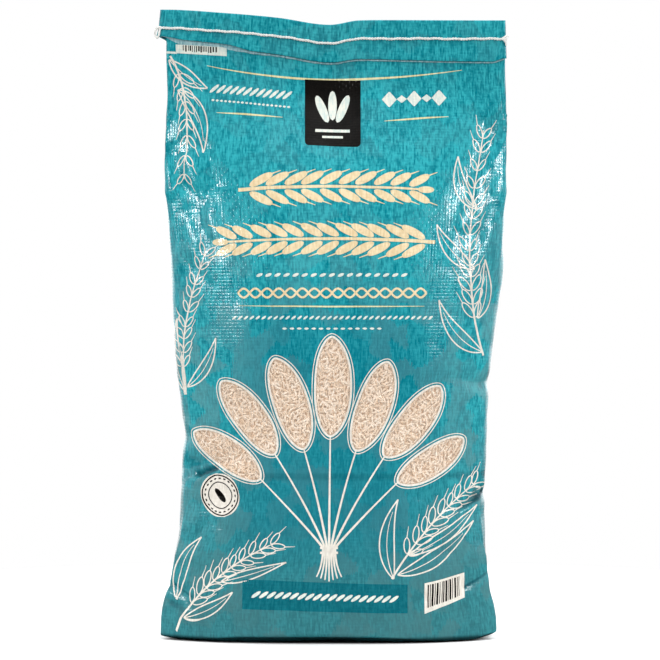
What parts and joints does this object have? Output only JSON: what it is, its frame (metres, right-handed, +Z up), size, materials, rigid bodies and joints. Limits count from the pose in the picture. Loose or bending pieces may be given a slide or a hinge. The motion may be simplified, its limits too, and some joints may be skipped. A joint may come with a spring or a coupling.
{
  "type": "sewn sack of rice",
  "caption": "Closed woven plastic sack full of rice, standing on its base, with a folded and sewn top and grain-shaped clear windows.",
  "frame": {"origin": "middle of the whole sack's outline seen from above, on the surface it stands on", "axes": "+Z up, towards the sewn top; -Y out of the printed front; +X to the right as the front is seen"},
  "size_m": [0.3281, 0.1429, 0.587],
  "materials": {
    "sack": "printed gloss laminate over woven polypropylene tape",
    "rice": "white long grain rice behind a clear film",
    "stitch_thread": "white spun polyester sewing thread"
  },
  "bodies": {
    "root": {"sack": "sack", "stitch_thread": "stitch_thread", "rice_window_1": "rice", "rice_window_2": "rice", "rice_window_3": "rice", "rice_window_4": "rice", "rice_window_5": "rice", "rice_window_6": "rice", "rice_window_7": "rice"}
  },
  "joints": []
}
